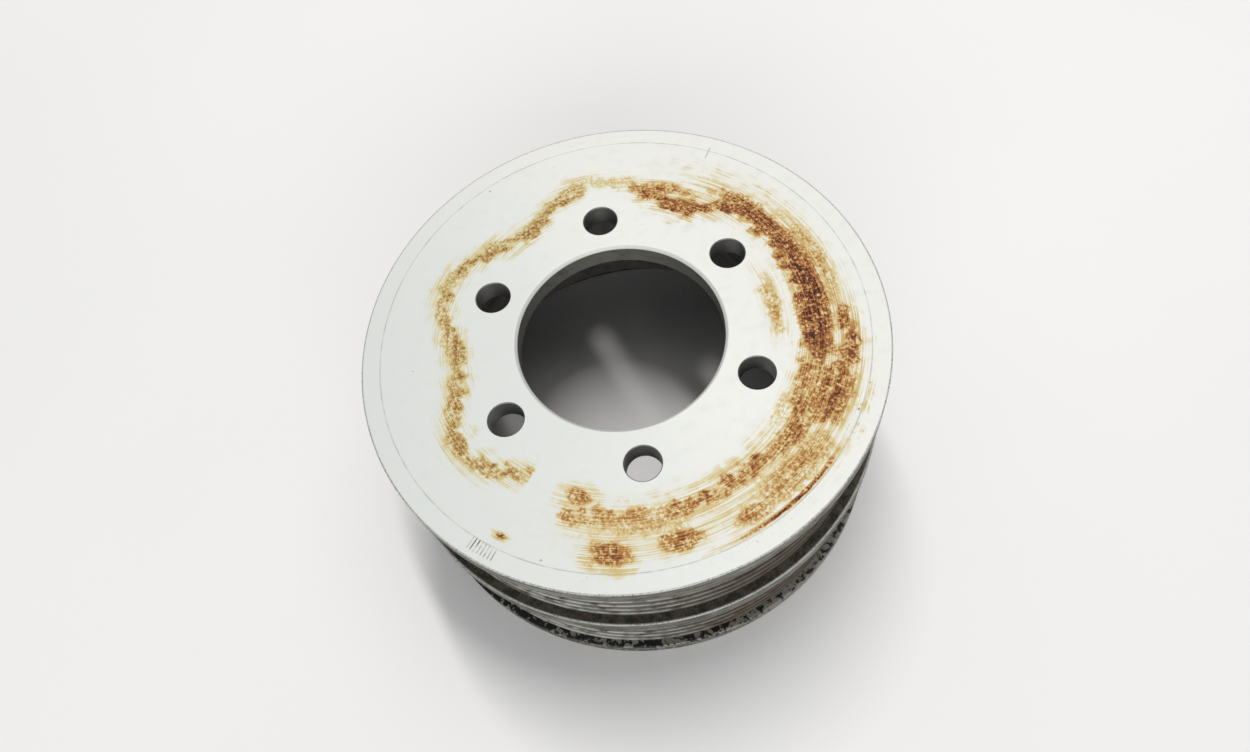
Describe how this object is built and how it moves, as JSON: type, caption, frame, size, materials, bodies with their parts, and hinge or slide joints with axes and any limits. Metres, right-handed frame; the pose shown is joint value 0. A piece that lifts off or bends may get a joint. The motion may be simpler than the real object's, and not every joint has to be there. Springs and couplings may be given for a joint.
{
  "type": "electromagnetic clutch",
  "caption": "Hollow-bore electromagnetic pulley clutch: bolt-on hub face, two ribbed belt tracks on a bearing, spring-held armature and a stationary field coil.",
  "frame": {"origin": "centre of the rear face that the part rests on, on the clutch's axis", "axes": "+Z along the axis towards the bolt-on hub face; one bolt hole lies towards -Y, and the torque bracket 30 degrees from it"},
  "size_m": [0.134, 0.134, 0.0591],
  "materials": {
    "machined_steel": "fine turned, satin, fretting rust",
    "worn_rim_steel": "turned grooves, worn and grimy",
    "chipped_black_paint": "black paint, chipped to the metal",
    "bearing_steel": "ground",
    "seal_rubber": "moulded",
    "cage_brass": "machined",
    "spring_steel": "blued",
    "bush_bronze": "sintered",
    "plated_steel": "zinc plated",
    "friction_steel": "ground, scored",
    "friction_lining": "moulded friction material",
    "field_enamel": "black enamel",
    "bobbin_nylon": "moulded",
    "terminal_plastic": "moulded",
    "winding_copper": "enamelled copper wire",
    "potting_epoxy": "cast resin",
    "terminal_brass": "tin and brass"
  },
  "bodies": {
    "hub": {"hub_flange": "machined_steel", "bearing_inner_ring": "bearing_steel", "armature_carrier": "plated_steel", "carrier_rivets": "plated_steel", "carrier_retaining_ring": "spring_steel", "field_upper_retaining_ring": "spring_steel", "field_lower_retaining_ring": "spring_steel", "field_thrust_washer": "bush_bronze"},
    "pulley": {"pulley_rim": "worn_rim_steel", "rear_flange_ring": "chipped_black_paint", "bearing_outer_ring": "bearing_steel", "bearing_front_seal": "seal_rubber", "bearing_rear_seal": "seal_rubber", "bearing_circlip": "spring_steel", "rotor_disc": "friction_steel", "friction_ring": "friction_lining"},
    "ball_cage": {"bearing_cage": "cage_brass", "front_ball_row": "bearing_steel", "rear_ball_row": "bearing_steel"},
    "armature": {"armature_disc": "friction_steel", "armature_rivets": "plated_steel", "leaf_springs": "spring_steel"},
    "field": {"field_shell": "field_enamel", "coil_bobbin": "bobbin_nylon", "coil_winding": "winding_copper", "potting_ring": "potting_epoxy", "field_bush": "bush_bronze", "torque_bracket": "plated_steel", "bracket_screws": "plated_steel", "terminal_housing": "terminal_plastic", "terminal_blades": "terminal_brass", "coil_leads": "winding_copper"}
  },
  "joints": [
    {"name": "pulley_spin", "type": "hinge", "parent": "hub", "child": "pulley", "pos_m": [0, 0, 0.0464], "axis": [0, 0, 1], "continuous": true},
    {"name": "cage_spin", "type": "hinge", "parent": "hub", "child": "ball_cage", "pos_m": [0, 0, 0.0464], "axis": [0, 0, 1], "continuous": true},
    {"name": "field_spin", "type": "hinge", "parent": "hub", "child": "field", "pos_m": [0, 0, 0.024], "axis": [0, 0, 1], "continuous": true},
    {"name": "armature_pull", "type": "slide", "parent": "hub", "child": "armature", "axis": [0, 0, -1], "range_m": [0, 0.0004], "stiffness_N_per_m": 12000, "springref_m": -0.0003, "deforming": ["leaf_springs"]}
  ],
  "couplings": [
    {"joint": "cage_spin", "follows": "pulley_spin", "ratio": 0.51972}
  ]
}
